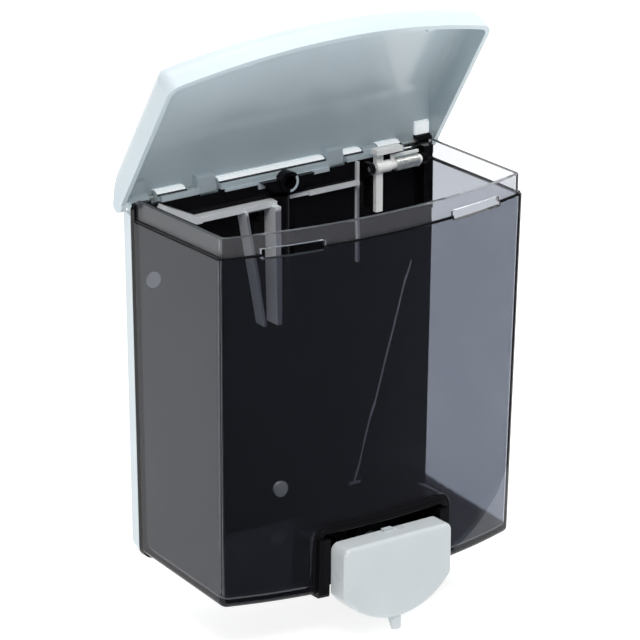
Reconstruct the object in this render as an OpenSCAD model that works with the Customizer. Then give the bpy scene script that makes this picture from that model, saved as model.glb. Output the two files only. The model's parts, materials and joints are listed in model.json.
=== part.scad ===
// Wall mounted soap dispenser: a smoke tank on a back plate, with a hinged lid and a push valve.
// X is to the right as seen from the front, Y points into the wall, and the wall face is at Y = 0.
// Modules are drawn with Z measured from the level where the button's straight sides end, just above
// the tank's underside. placed() then moves them so that the origin lies on the wall face, midway
// between the two upper wall screws.

/* [Tank] */
// Width across the tank at its shoulder
tank_w = 143; // [136:1:150]
// Distance from the wall to the middle of the tank's bowed front
tank_d = 77.5; // [75:0.5:80]
// Height of the shoulder that the lid closes on
shoulder_z = 141.5; // [138:0.5:144]
// Height of the rim above the shoulder
rim_h = 8.2; // [6:0.2:9]
// How far the front bows out between its two corners
bow = 10.9; // [8:0.1:12]
// How much narrower each side is at the bottom
draft = 2.4; // [1:0.1:3]
// Wall thickness of the tank
tank_t = 2.3; // [1.8:0.1:2.6]

/* [Back] */
// Depth of the back plate
plate_d = 6.8; // [6:0.1:8]
// Wall thickness of the back plate
plate_t = 2.4; // [2:0.1:3]
// Thickness of the tank's back panel
panel_t = 2.5; // [2:0.1:3]
// Distance between the two upper wall screws
screw_span = 124; // [110:1:126]
// Height of the upper wall screws
screw_upper_z = 117; // [105:1:120]
// Height of the lower wall screw
screw_lower_z = 18; // [16:0.2:24]
// Sideways place of the lower wall screw
screw_lower_x = -3.6; // [-6:0.2:6]
// Radius of the wall screw holes
screw_r = 1.9; // [1.6:0.1:2.2]

/* [Lid] */
// Width of the lid
lid_w = 151; // [149:0.5:154]
// Depth from the hinge axis to the middle of the lid's front
lid_reach = 76.4; // [75.5:0.1:78]
// Height of the lid above its hinge axis
lid_top = 12.8; // [11:0.1:14]
// Depth of the lid's skirt below its hinge axis
lid_skirt = 2; // [1:0.1:3]
// Radius along the lid's top edges
lid_round = 10.4; // [8:0.1:11]
// Wall thickness of the lid
lid_t = 2.1; // [1.8:0.1:2.4]
// Angle at which the lid stands open
lid_open = 57.9; // [0:0.1:57.9]

/* [Hinge] */
// Distance of the hinge axis from the wall
hinge_y = 3.8; // [3.7:0.1:4]
// Height of the hinge axis
hinge_z = 147.5; // [147:0.1:148.5]
// Outer radius of the knuckles
knuckle_r = 2.95; // [2.7:0.05:3]
// Radius of the hinge pin
pin_r = 1.5; // [1.2:0.1:1.6]

/* [Valve] */
// Height of the valve axis
valve_z = 14; // [13.5:0.1:14.5]
// Width of the push button
button_w = 51.2; // [46:0.2:52]
// Height of the top edge of the push button
button_top = 22.2; // [21:0.1:23]
// Depth of the push button
button_d = 9.6; // [9:0.1:10]
// Distance from the wall to the face of the button
button_face = 83.6; // [83:0.1:84]
// How far the button travels
button_travel = 8; // [6:0.5:8]
// Bore radius of the pump cylinder
bore_r = 4.7; // [4.5:0.05:4.8]
// Radial running clearance of the moving valve parts
run = 0.05; // [0.03:0.01:0.08]

/* [Latch] */
// Distance of the latch pivot from the wall
latch_y = 13.5; // [13:0.1:14]
// Height of the latch pivot
latch_z = 144; // [143.5:0.1:144.5]

/* [Hidden] */
$fn = 48;

grey = "#d8dde0";
black = "#141416";
smoke = "#3c4047b0";
steel = "#b8bcc0";
rubber = "#2a2a2c";
white = "#e8eaea";

eps = 0.01;
back_y = -(plate_d + panel_t);            // plane where the tank shell meets its back panel
rim_z = shoulder_z + rim_h;
half_w = tank_w / 2;
bow_r = (half_w * half_w + bow * bow) / (2 * bow);
bow_y = bow_r - tank_d;                   // centre of the front's large arc
corner_r = 3.5;
floor_front = -2.2;                       // level of the tank's underside at its front
floor_rise = 6;                           // rise of the tank's underside from front to back
floor_tilt = atan(floor_rise / (tank_d + back_y));
rim_step = 1.1;                           // step from the shoulder in to the rim
rim_t = 2;

pocket_w = 61.4;                          // pocket in the tank's front wall that takes the valve
pocket_top = 26.9;
pocket_y = -60;
pocket_wall = 2;
housing_t = 2.2;
housing_y = pocket_y - 2;                 // front face of the housing's back wall
cyl_r = 6.5;
cyl_end = -37;
stem_r = 3;
button_low = 12.6;                        // how far the button's arc hangs down
button_back = button_d - button_face;
lid_bow = 11;
lid_wall_y = 2.6;                         // how far the open lid's rear wall stands behind the hinge axis
lid_arc_r = (lid_w * lid_w / 4 + lid_bow * lid_bow) / (2 * lid_bow);
nozzle_y = 4.7 - button_face;             // upright tube that feeds the spout
spout_lean = 15;                          // the spout leans forward by this angle
plate_knuckles = [[-59, -45.3], [-30.4, 20.2], [29, 38.2], [45.9, 57]];
lid_knuckles = [[-70, -62.5], [-40.5, -31.5], [20.6, 28.6], [38.6, 45.5], [62.5, 70]];
body_screw_at = [[-50, 28], [50, 28], [-50, 132], [50, 132]];
plug_r = 3.2;
access_r = 2.9;
panel_top = 147;                          // top edge of the back panel between its two corner posts
ledge_d = 4.6;                            // depth of the light frame's ledge, and its strip behind the column
strip_d = 1;
strip_z = 137.8;
strip_h = 1.4;
boss_y = -3.2;                            // plane where the panel's bosses meet the back plate

// Points of an arc, counter-clockwise from angle a to angle b
function arc(x, y, r, a, b, n) = [for (i = [0:n]) let (t = a + (b - a) * i / n) [x + r * cos(t), y + r * sin(t)]];

// Plan outline with a flat back, two straight sides and a bowed front, all moved in by inset
function plan(hw, back, arc_y, arc_r, corner, inset) =
    let (
        w = hw - inset, R = arc_r - inset, r = max(corner - inset, 0.6),
        cy = arc_y - sqrt((R - r) * (R - r) - (w - r) * (w - r)),
        tip = atan2(arc_y - cy, w - r)
    )
    concat([[w, back], [-w, back]], arc(r - w, cy, r, 180, 180 + tip, 6),
        arc(0, arc_y, R, 180 + tip + 0.5, 360 - tip - 0.5, 20), arc(w - r, cy, r, 360 - tip, 360, 6));

// Rectangle from x0, y0 to x1, y1 with rounded corners
function rounded(x0, y0, x1, y1, r) = concat(
    arc(x0 + r, y0 + r, r, 180, 270, 6), arc(x1 - r, y0 + r, r, 270, 360, 6),
    arc(x1 - r, y1 - r, r, 0, 90, 6), arc(x0 + r, y1 - r, r, 90, 180, 6));

module placed() { translate([0, 0, -screw_upper_z]) children(); }

// Box given by its two corners
module span(a, b) { translate(a) cube(b - a); }

// Cylinder along Y between two planes
module rod_y(x, z, r, y0, y1) { translate([x, y1, z]) rotate([90, 0, 0]) cylinder(r = r, h = y1 - y0); }

// Cylinder along X between two planes
module rod_x(y, z, r, x0, x1) { translate([x0, y, z]) rotate([0, 90, 0]) cylinder(r = r, h = x1 - x0); }

// Ring along Y between two planes
module ring_y(z, r, hole, y0, y1) {
    difference() { rod_y(0, z, r, y0, y1); rod_y(0, z, hole, y0 - 1, y1 + 1); }
}

// Flat shape drawn in X and Z, given thickness between two planes across Y
module slab_y(y0, y1) { translate([0, y1, 0]) rotate([90, 0, 0]) linear_extrude(y1 - y0) children(); }

// Thin horizontal slice of the tank's plan
module tank_slice(z, narrower, inset, back) {
    translate([0, 0, z]) linear_extrude(eps)
        polygon(plan(half_w - narrower, back, bow_y, bow_r - narrower * 1.45, corner_r, inset));
}

// Solid body of the tank up to its shoulder, moved in by inset
module tank_body(inset, back, top) {
    hull() {
        translate([0, -tank_d, floor_front]) rotate([floor_tilt, 0, 0]) translate([0, tank_d, 0]) {
            tank_slice(inset, draft, inset + 2.6, back);
            tank_slice(inset + 0.8, draft, inset + 0.8, back);
            tank_slice(inset + 2.6, draft, inset, back);
        }
        tank_slice(top, 0, inset, back);
    }
}

module pocket_shape(grow) {
    polygon(rounded(-pocket_w / 2 - grow, -8, pocket_w / 2 + grow, pocket_top + grow, 4 + grow));
}

module tank_shell() placed() color(smoke) {
    difference() {
        union() {
            difference() {
                tank_body(0, back_y, shoulder_z - eps);
                tank_body(tank_t, back_y + 9, shoulder_z + 2);
            }
            difference() {
                translate([0, 0, shoulder_z - 1.8]) linear_extrude(rim_h + 1.8)
                    polygon(plan(half_w - rim_step, back_y, bow_y, bow_r - rim_step, corner_r, 0));
                translate([0, 0, shoulder_z - 9]) linear_extrude(rim_h + 10)
                    polygon(plan(half_w - rim_step - rim_t, back_y + 9, bow_y, bow_r - rim_step - rim_t, 1.5, 0));
            }
            intersection() {
                slab_y(-tank_d - 5, pocket_y + pocket_wall) pocket_shape(pocket_wall);
                tank_body(0, back_y, shoulder_z);
            }
        }
        slab_y(-tank_d - 9, pocket_y) pocket_shape(0);
        rod_y(0, valve_z, cyl_r + 0.1, pocket_y - 5, pocket_y + 5);
        // two shallow windows in the shoulder for the lid's snap nubs
        for (x = [-42, 44]) slab_y(-tank_d - 5, -tank_d + 8)
            translate([x - 13, shoulder_z - 1.2]) square([26, 3.6]);
    }
}

module plug_holes() {
    for (x = [-1, 1]) rod_y(x * screw_span / 2, screw_upper_z, access_r, back_y - 6, 0);
    rod_y(screw_lower_x, screw_lower_z, access_r, back_y - 6, 0);
}

// Outline of the back in X and Z, with the tank's draft and rounded lower corners
function back_shape(narrower, z0, z1, r) =
    let (low = half_w - draft - narrower, top = half_w - narrower)
    concat([[top, z1], [-top, z1]], arc(r - low, z0 + r, r, 180, 270, 6), arc(low - r, z0 + r, r, 270, 360, 6));

module tank_back() placed() color(black) {
    front = back_y;
    difference() {
        union() {
            slab_y(back_y, -plate_d) polygon(back_shape(0.1, 2.6, panel_top, 5));
            for (x = [-67.3, 67.3]) slab_y(back_y, -plate_d)
                translate([x - 3.8, panel_top - 1]) square([7.6, 2.4]);
            for (p = body_screw_at) rod_y(p[0], p[1], 4, -plate_d - eps, boss_y);
            // boss above the ledge, with a blind hole
            rod_y(-1.5, 145.6, 4.3, front - 4, front);
            slab_y(front - 3, front + 0.5) polygon([[-14, 147], [-8.5, 142], [5.5, 142], [11, 147]]);
            // rounded column under the boss
            difference() {
                translate([-3.4, front + 1.5, 96]) cylinder(r = 4.6, h = 44);
                span([-20, front - strip_d - 0.05, strip_z - 0.05], [20, front + 0.05, strip_z + strip_h + 0.05]);
                span([-20, front + 0.5, 90], [20, front + 9, 150]);
            }
            span([2.2, front - 1.6, 90], [3, front, 126]);
            // small rounded pad between the frame's two legs
            rod_y(-14.8, 133, 1.6, front - 2, front);
            // ears that carry the latch pin
            for (x = [35.9, 61.6]) hull() {
                rod_x(-latch_y, latch_z, 2.4, x, x + 1.8);
                span([x, front - eps, latch_z - 6], [x + 1.8, front, latch_z + 2.4]);
            }
            // post at the right rear corner
            span([63.9, front - 3.4, 122], [68.2, front + 0.5, panel_top + 1.3]);
        }
        plug_holes();
        for (p = body_screw_at) rod_y(p[0], p[1], 1.25, -8.4, 0);
        rod_y(-1.5, 145.6, 2.6, front - 5, front - 0.6);
        rod_x(-latch_y, latch_z, 1.2, 30, 70);
        rod_x(-hinge_y, hinge_z, knuckle_r + 0.4, -75, 75);
        // long tapering recess, open toward the tank
        slab_y(front - 1, front + 1)
            polygon([[59, 100.5], [56, 103], [-56, 103], [-59, 100.5], [-35.8, 12.6], [-30, 11.6], [30, 11.6], [35.8, 12.6]]);
    }
}

// Light frame on the front of the back panel: a ledge that climbs away at its left end, two legs that
// taper downward, and a thin upright rib beside the latch
module hanger_frame() placed() color(grey) {
    face = back_y;
    span([-45, face - ledge_d, 137.4], [-8.1, face, 139.4]);
    slab_y(face - ledge_d - 1.5, face)
        polygon([[-44, 139.4], [-44, 137.6], [-47, 137.6], [-61, 145.6], [-60, 147]]);
    slab_y(face - 6, face) polygon([[-24.1, 138], [-22.9, 138], [-14.2, 90], [-15.4, 90]]);
    slab_y(face - 7.4, face) polygon([[-11.1, 138], [-8.3, 138], [-8.3, 90], [-10.1, 90]]);
    slab_y(face - 2.4, face) polygon([[-24, 138], [-8.4, 138], [-8.4, 133], [-11, 136], [-21, 136], [-23.2, 133]]);
    span([-9, face - strip_d, strip_z], [33, face, strip_z + strip_h]);
    span([9, face - 2.4, strip_z], [33, face - strip_d, strip_z + strip_h]);
    span([32.4, face - 1.6, 106], [33.4, face, panel_top]);
}

module back_plate() placed() color(grey) {
    difference() {
        union() {
            difference() {
                hull() {
                    slab_y(-plate_d, -plate_d + 0.5) polygon(back_shape(0, 2.6, 143.6, 5));
                    slab_y(-0.5, 0) polygon(back_shape(1.4, 4, 143.6, 5));
                }
                slab_y(-plate_d - 1, -plate_t) polygon(back_shape(3.6, 6.6, 141.2, 3));
            }
            for (k = plate_knuckles) {
                rod_x(-hinge_y, hinge_z, knuckle_r, k[0], k[1]);
                span([k[0], -plate_d, 140], [k[1], -hinge_y + knuckle_r, hinge_z]);
            }
            // lip that covers the top edge of the tank's back panel
            span([-58.5, back_y + 0.2, panel_top], [56.5, -plate_d - 0.4, panel_top + 2]);
            for (k = plate_knuckles) span([k[0], -plate_d - 0.5, panel_top], [k[1], -plate_d + 0.6, panel_top + 1.2]);
            for (p = body_screw_at) rod_y(p[0], p[1], 5.5, boss_y, 0);
            for (x = [-1, 1]) rod_y(x * screw_span / 2, screw_upper_z, 5, -3.4, 0);
            rod_y(screw_lower_x, screw_lower_z, 5, -3.4, 0);
            // stiffening ribs
            for (x = [-28, 28]) span([x - 0.8, -plate_d + 0.4, 10], [x + 0.8, -1, 136]);
        }
        rod_x(-hinge_y, hinge_z, pin_r, -70, 70);
        for (x = [-1, 1]) rod_y(x * screw_span / 2, screw_upper_z, screw_r, -9, 1);
        rod_y(screw_lower_x, screw_lower_z, screw_r, -9, 1);
        for (p = body_screw_at) {
            rod_y(p[0], p[1], 1.5, -9, 1);
            rod_y(p[0], p[1], 3.3, -1.8, 1);
        }
    }
}

module body_screws() placed() color(steel) {
    for (p = body_screw_at) difference() {
        union() {
            rod_y(p[0], p[1], 3.1, -1.8, -0.2);
            rod_y(p[0], p[1], 1.25, -8.3, -1.8);
        }
        // cross recess
        span([p[0] - 1.6, -1, p[1] - 0.35], [p[0] + 1.6, 0, p[1] + 0.35]);
        span([p[0] - 0.35, -1, p[1] - 1.6], [p[0] + 0.35, 0, p[1] + 1.6]);
    }
}

module screw_plug(x, z, shade) placed() color(shade) {
    rod_y(x, z, access_r - 0.02, back_y, -plate_d + 0.6);
    rod_y(x, z, plug_r, back_y - 0.9, back_y);
}

module hinge_pin() placed() color(steel) rod_x(-hinge_y, hinge_z, pin_r - run, -69.4, 69.4);

// Places lid geometry, drawn closed and level with the hinge axis as its origin
module on_hinge() { translate([0, -hinge_y, hinge_z]) rotate([-lid_open, 0, 0]) children(); }

// Solid block under the lid's outer surface, moved in by inset: its bowed front is turned about an
// upright axis, and its two sides are cut by the view from the front
module lid_block(inset, low) {
    top = lid_top - inset;
    r = lid_round - inset;
    w = lid_w / 2 - inset;
    R = lid_arc_r - inset;
    intersection() {
        translate([0, lid_arc_r - lid_reach, 0]) rotate_extrude($fn = 360)
            polygon(concat([[R - 90, low], [R, low]], arc(R - r, top - r, r, 0, 90, 8), [[R - 90, top]]));
        slab_y(-90, 12) polygon(concat([[-w, low - 1], [w, low - 1]], arc(w - r, top - r, r, 0, 90, 8),
            arc(r - w, top - r, r, 90, 180, 8)));
    }
}

// Everything behind the plane that lies against the wall when the lid stands open
module behind_wall(gap) {
    rotate([57.9, 0, 0]) translate([-100, gap, -60]) cube([200, 60, 160]);
}

// Gusset above an outer knuckle, as it stands when the lid is open
module gusset(x0, x1) {
    translate([x0, 0, 0]) rotate([90, 0, 90]) linear_extrude(x1 - x0)
        polygon([[-0.5, 1.2], [2.2, 1.2], [2.2, 8.4], [0.3, 8.4], [-0.5, 7.6]]);
}

module lid() placed() color(grey) on_hinge() {
    difference() {
        union() {
            difference() {
                lid_block(0, -lid_skirt);
                difference() {
                    lid_block(lid_t, -lid_skirt - 1);
                    behind_wall(lid_wall_y - lid_t);
                }
                behind_wall(lid_wall_y);
                // room behind the hinge, between the two side skirts
                span([-lid_w / 2 + lid_t + 0.1, -knuckle_r, -9], [lid_w / 2 - lid_t - 0.1, 20, 0.05]);
                rotate([57.9, 0, 0]) span([-90, -knuckle_r, -20], [90, 20, 0]);
            }
            for (x = [0.1 - lid_w / 2, lid_w / 2 - lid_t - 0.3]) rod_x(0, 0, knuckle_r, x, x + lid_t + 0.2);
            for (k = lid_knuckles) rod_x(0, 0, knuckle_r, k[0], k[1]);
            // gussets that brace the two outer knuckles
            for (x = [-69.6, 62.9]) rotate([57.9, 0, 0]) gusset(x, x + 6.7);
            // snap nubs inside the front skirt
            for (x = [-42, 44]) span([x - 2, -lid_reach + lid_t + abs(x) * abs(x) / (2 * lid_arc_r) - 0.2, -lid_skirt],
                [x + 2, -lid_reach + lid_t + abs(x) * abs(x) / (2 * lid_arc_r) + 1, -lid_skirt + 2]);
        }
        rod_x(0, 0, pin_r, -72, 72);
        for (k = plate_knuckles) rod_x(0, 0, knuckle_r + 0.4, k[0] - 0.3, k[1] + 0.3);
    }
}

module latch_lever() placed() color(white) {
    difference() {
        union() {
            rod_x(-latch_y, latch_z, 2.4, 39, 46);
            rod_x(-latch_y, latch_z, 1.9, 46, 61);
            span([39, -latch_y - 1, 126], [42.2, -latch_y + 1, latch_z]);
            span([39, -latch_y - 1.2, latch_z], [42.2, -latch_y + 1.2, 150]);
            span([38, -latch_y - 2.8, 149.8], [50.5, -latch_y + 1.5, 152]);
            span([46.2, -latch_y - 1.2, latch_z], [47.7, -latch_y - 0.2, latch_z + 4.4]);
            span([46.2, -latch_y - 1.2, latch_z + 3.3], [59.5, -latch_y - 0.2, latch_z + 4.4]);
        }
        rod_x(-latch_y, latch_z, 1.2 + run, 30, 70);
    }
}

module latch_pin() placed() color(steel) rod_x(-latch_y, latch_z, 1.2 - 0.01, 36.4, 63.6);

module latch_spring() placed() color(steel) {
    difference() {
        rod_x(-latch_y, latch_z, 2.9, 48, 60);
        rod_x(-latch_y, latch_z, 2, 47, 61);
    }
    rod_y(59.6, latch_z - 2.5, 0.4, -latch_y + 1, back_y);
}

module valve_housing() placed() color(black) {
    difference() {
        union() {
            intersection() {
                difference() {
                    slab_y(-tank_d - 5, pocket_y) pocket_shape(-0.05);
                    slab_y(-tank_d - 6, housing_y) pocket_shape(-housing_t);
                }
                translate([0, 0, 0.8]) linear_extrude(40)
                    polygon(plan(half_w - 1.8, back_y, bow_y, bow_r - 2.6, corner_r, 0));
            }
            rod_y(0, valve_z, cyl_r, pocket_y - 1, cyl_end);
            rod_y(0, valve_z, cyl_r + 1.2, housing_y - 1.6, housing_y + eps);
            for (x = [-18, 18]) rod_y(x, valve_z, 4, housing_y - 9, housing_y + eps);
        }
        rod_y(0, valve_z, bore_r, housing_y - 5, cyl_end + 1);
        for (x = [-18, 18]) rod_y(x, valve_z, 2.3, housing_y - 10, housing_y + 0.2);
    }
}

module valve_gasket() placed() color(rubber)
    ring_y(valve_z, 9.3, cyl_r, pocket_y + pocket_wall, pocket_y + pocket_wall + 1.5);

module valve_nut() placed() color(black) difference() {
    y0 = pocket_y + pocket_wall + 1.5;
    translate([0, y0 + 5, valve_z]) rotate([90, 0, 0]) cylinder(r = 9.4, h = 5, $fn = 6);
    rod_y(0, valve_z, cyl_r, y0 - 1, y0 + 6);
}

module stem_seal() placed() color(rubber)
    ring_y(valve_z, bore_r, stem_r + run, housing_y, housing_y + 2.4);

module seal_retainer() placed() color(black) difference() {
    union() {
        rod_y(0, valve_z, bore_r, housing_y - 2.6, housing_y);
        rod_y(0, valve_z, cyl_r + 1.2, housing_y - 2.6, housing_y - 1.6);
    }
    rod_y(0, valve_z, stem_r + 0.3, housing_y - 4, housing_y + 1);
}

// Block at the rear of the cylinder with an upright chamber for the check ball
module inlet_body() placed() color(black) difference() {
    union() {
        rod_y(0, valve_z, bore_r, cyl_end - 3, cyl_end);
        rod_y(0, valve_z, cyl_r, cyl_end, cyl_end + 2);
        span([-4.5, cyl_end + 2, 9.5], [4.5, cyl_end + 10, 21]);
    }
    translate([0, cyl_end + 6, 9]) cylinder(r = 2.8, h = 10);
    rod_y(0, valve_z, 1.6, cyl_end - 4, cyl_end + 6);
}

module inlet_seat() placed() color(white) translate([0, cyl_end + 6, 0]) difference() {
    union() {
        translate([0, 0, 8]) cylinder(r = 3.9, h = 1.5);
        translate([0, 0, 9.5]) cylinder(r = 2.78, h = 1.2);
    }
    translate([0, 0, 7]) cylinder(r = 1.3, h = 5);
    translate([0, 0, 9.7]) cylinder(r1 = 1.3, r2 = 2.3, h = 1.01);
}

module inlet_ball() placed() color(steel) translate([0, cyl_end + 6, 11.9]) sphere(r = 2);

module inlet_strainer() placed() color(white) translate([0, cyl_end + 6, 7.2]) difference() {
    cylinder(r = 3.9, h = 0.8);
    for (a = [0:60:300]) rotate(a) translate([2.4, 0, -1]) cylinder(r = 0.6, h = 3);
    translate([0, 0, -1]) cylinder(r = 0.6, h = 3);
}

// Button outline in X and Z: straight sides, rounded upper corners and an arc below
function button_shape(inset) =
    let (
        w = button_w / 2 - inset, r = max(3.2 - inset, 0.8), side = 0.6,
        sag = button_low + side - inset, R = (w * w + sag * sag) / (2 * sag), a = asin(w / R)
    )
    concat(arc(w - r, button_top - inset - r, r, 0, 90, 6), arc(r - w, button_top - inset - r, r, 90, 180, 6),
        arc(0, R - button_low + inset, R, 270 - a, 270 + a, 24));

module push_button() placed() color(grey) {
    face = -button_face;
    difference() {
        union() {
            difference() {
                hull() {
                    slab_y(face, face + 0.2) polygon(button_shape(1.1));
                    slab_y(face + 1.1, button_back) polygon(button_shape(0));
                }
                slab_y(face + 2, button_back + 1) polygon(button_shape(2));
            }
            for (x = [-18, 18]) rod_y(x, valve_z, 2.24, face + 1.9, housing_y - 8.3);
            rod_y(0, valve_z, 6, face + 1.9, face + 4.4);
            // finger tab at the middle of the top edge
            span([-2.2, button_back - 2.4, button_top - 0.2], [2.2, button_back - 0.4, button_top + 1]);
        }
        rod_y(0, valve_z, stem_r, face + 2.6, face + 9);
        translate([0, nozzle_y, -9]) cylinder(r = 2.65, h = valve_z + 9);
        spout(0.05);
    }
}

module plunger() placed() color(white) difference() {
    union() {
        rod_y(0, valve_z, stem_r, 2.6 - button_face, -52);
        rod_y(0, valve_z, bore_r - 0.3, -56, -54.6);
        rod_y(0, valve_z, bore_r - 0.3, -53.4, -52);
    }
    rod_y(0, valve_z, 1.5, nozzle_y, -51);
    translate([0, nozzle_y, valve_z - 4]) cylinder(r = 1.5, h = 4);
}

module piston_seal() placed() color(rubber) ring_y(valve_z, bore_r - run, stem_r, -54.6, -53.4);

module stem_clip() placed() color(steel) difference() {
    ring_y(valve_z, 5.4, stem_r, -74, -73.2);
    span([-1.6, -75, valve_z - 9], [1.6, -72, valve_z]);
}

// Helical wire along Y, swept as a ring of sides round each point of the helix
module coil_y(r, wire, y0, y1, turns, steps, sides) {
    n = turns * steps;
    rings = [for (i = [0:n]) let (a = 360 * i / steps, y = y0 + (y1 - y0) * i / n)
        for (j = [0:sides - 1]) let (b = 360 * j / sides, q = r + wire * cos(b))
            [q * cos(a), y + wire * sin(b), q * sin(a)]];
    walls = [for (i = [0:n - 1]) for (j = [0:sides - 1]) let (k = (j + 1) % sides)
        [i * sides + j, i * sides + k, (i + 1) * sides + k, (i + 1) * sides + j]];
    ends = [[for (j = [sides - 1:-1:0]) j], [for (j = [0:sides - 1]) n * sides + j]];
    polyhedron(concat(rings), concat(walls, ends));
}

module return_spring() placed() color(steel)
    translate([0, 0, valve_z]) coil_y(3.6, 0.4, -51.5, cyl_end - 3.5, 6, 12, 6);

// Leaning spout under the button, with its outer surface moved out by grow
module spout(grow) {
    translate([0, nozzle_y, -7]) rotate([-spout_lean, 0, 0]) translate([0, 0, -11.4])
        cylinder(r1 = 1.9 + grow, r2 = 3.4 + grow, h = 11.4);
}

module nozzle() placed() color(grey) difference() {
    union() {
        spout(0);
        translate([0, nozzle_y, -7.5]) cylinder(r = 2.6, h = valve_z + 7.5);
    }
    translate([0, nozzle_y, -7]) rotate([-spout_lean, 0, 0]) {
        translate([0, 0, -13]) cylinder(r = 1.2, h = 13);
        translate([0, 0, -6.5]) cylinder(r = 1.8, h = 4);
    }
    translate([0, nozzle_y, -7.6]) cylinder(r = 1.2, h = valve_z + 7.6);
    rod_y(0, valve_z, stem_r, nozzle_y - 20, nozzle_y + 20);
}

module outlet_valve() placed() color(rubber) translate([0, nozzle_y, -7]) rotate([-spout_lean, 0, 0])
    translate([0, 0, -6.5]) difference() {
        union() {
            translate([0, 0, 3]) cylinder(r = 1.8, h = 1);
            cylinder(r1 = 0.7, r2 = 1.8, h = 3);
        }
        translate([0, 0, 0.6]) cylinder(r = 0.4, h = 5);
    }

back_plate();
tank_back();
hanger_frame();
tank_shell();
lid();
hinge_pin();
body_screws();
screw_plug(-screw_span / 2, screw_upper_z, grey);  // screw_plug_left
screw_plug(screw_span / 2, screw_upper_z, black);  // screw_plug_right
screw_plug(screw_lower_x, screw_lower_z, grey);  // screw_plug_lower
latch_lever();
latch_pin();
latch_spring();
valve_housing();
valve_gasket();
valve_nut();
stem_seal();
seal_retainer();
inlet_body();
inlet_ball();
inlet_seat();
inlet_strainer();
push_button();
plunger();
piston_seal();
return_spring();
stem_clip();
nozzle();
outlet_valve();
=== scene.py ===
import json
import math

import bmesh
import bpy
from mathutils import Matrix, Vector


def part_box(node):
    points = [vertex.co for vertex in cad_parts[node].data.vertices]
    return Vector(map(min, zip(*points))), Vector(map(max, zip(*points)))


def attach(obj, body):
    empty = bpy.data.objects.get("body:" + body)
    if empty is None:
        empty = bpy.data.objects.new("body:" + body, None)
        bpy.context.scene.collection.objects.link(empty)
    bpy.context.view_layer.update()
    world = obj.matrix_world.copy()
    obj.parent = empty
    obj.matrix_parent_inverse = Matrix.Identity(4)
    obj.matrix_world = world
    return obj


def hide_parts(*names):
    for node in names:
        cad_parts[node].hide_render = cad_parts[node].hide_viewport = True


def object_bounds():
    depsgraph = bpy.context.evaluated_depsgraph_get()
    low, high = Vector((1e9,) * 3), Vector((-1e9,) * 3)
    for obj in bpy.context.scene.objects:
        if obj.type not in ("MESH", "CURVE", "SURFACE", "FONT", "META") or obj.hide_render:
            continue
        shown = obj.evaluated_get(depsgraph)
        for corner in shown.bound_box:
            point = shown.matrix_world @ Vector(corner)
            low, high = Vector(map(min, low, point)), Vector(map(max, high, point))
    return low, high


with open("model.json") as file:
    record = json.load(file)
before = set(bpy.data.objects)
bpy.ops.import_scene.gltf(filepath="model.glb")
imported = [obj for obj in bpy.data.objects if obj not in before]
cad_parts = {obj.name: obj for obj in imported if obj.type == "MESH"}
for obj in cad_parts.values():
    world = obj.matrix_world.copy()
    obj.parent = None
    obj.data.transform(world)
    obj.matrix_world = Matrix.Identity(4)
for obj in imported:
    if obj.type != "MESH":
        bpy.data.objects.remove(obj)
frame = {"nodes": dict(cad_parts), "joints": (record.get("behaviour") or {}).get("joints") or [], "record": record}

CAD_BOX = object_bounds()
MM = 0.001
NODES = frame["nodes"]


# ---------------------------------------------------------------- places and sizes, in millimetres

def mm_box(node):
    """A CAD node's lowest and highest corners, in millimetres."""
    low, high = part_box(node)
    return low / MM, high / MM


def joint_place(name):
    """Where a hinge's axis lies, as Y and Z in millimetres."""
    found = [j for j in frame["joints"] if j["name"] == name][0]
    return found["pos_m"][1] / MM, found["pos_m"][2] / MM


HINGE_Y, HINGE_Z = joint_place("lid_hinge")
LATCH_Y, LATCH_Z = joint_place("latch_pivot")
SHELL_LOW, SHELL_HIGH = mm_box("tank_shell")
LID_HIGH = mm_box("lid")[1]
BUTTON_LOW, BUTTON_HIGH = mm_box("push_button")
HOUSING_LOW, HOUSING_HIGH = mm_box("valve_housing")

HALF_W = SHELL_HIGH.x                  # half the tank's width at its shoulder
TANK_D = -SHELL_LOW.y                  # wall to the middle of the bowed front
BACK_Y = SHELL_HIGH.y                  # plane where the shell meets the black back panel
RIM_TOP = SHELL_HIGH.z
RIM_H = 8.2
SHOULDER = RIM_TOP - RIM_H             # height of the step at the foot of the rim
BOW = 10.9                             # how far the front bows out
DRAFT = 2.4                            # how much narrower each side is at the bottom
TANK_T = 2.3                           # wall thickness
CORNER = 3.5                           # radius of the upright front corners
LOW_ROUND = 2.6                        # radius of the edge around the underside
RIM_STEP = 1.1                         # from the wall's outside in to the rim's
RIM_T = 2.0
FLOOR_LOW = SHELL_LOW.z + 0.6          # underside at the front
FLOOR_RISE = 6.0                       # how much higher the underside is at the back
FLOOR_SLOPE = FLOOR_RISE / (TANK_D + BACK_Y)

LID_OPEN = 57.9                        # degrees from level to how the lid stands in the photo
LID_W = LID_HIGH.x * 2
LID_REACH = 76.4                       # hinge axis to the middle of the bowed front edge
LID_TOP = 12.8                         # top of the level lid above the hinge axis
LID_SKIRT = 2.0                        # how far the skirt hangs below the axis
LID_ROUND = 10.4                       # radius between top and skirt, outside
LID_INNER_ROUND = 4.8                  # the same, inside
LID_T = 2.1                            # thickness
LID_BOW = 11.0
LID_CORNER = 6.0
LID_WALL_Y = 2.6                       # hinge axis to the open lid's rear face, beside the wall
KNUCKLE_R = 2.95
TAB_ROOMS = [(-41, -31), (20.1, 29)]   # where the lid's two tabs swing down, along X
NUBS = (-42, 44)                       # places of the lid's snap nubs, along X

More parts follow.
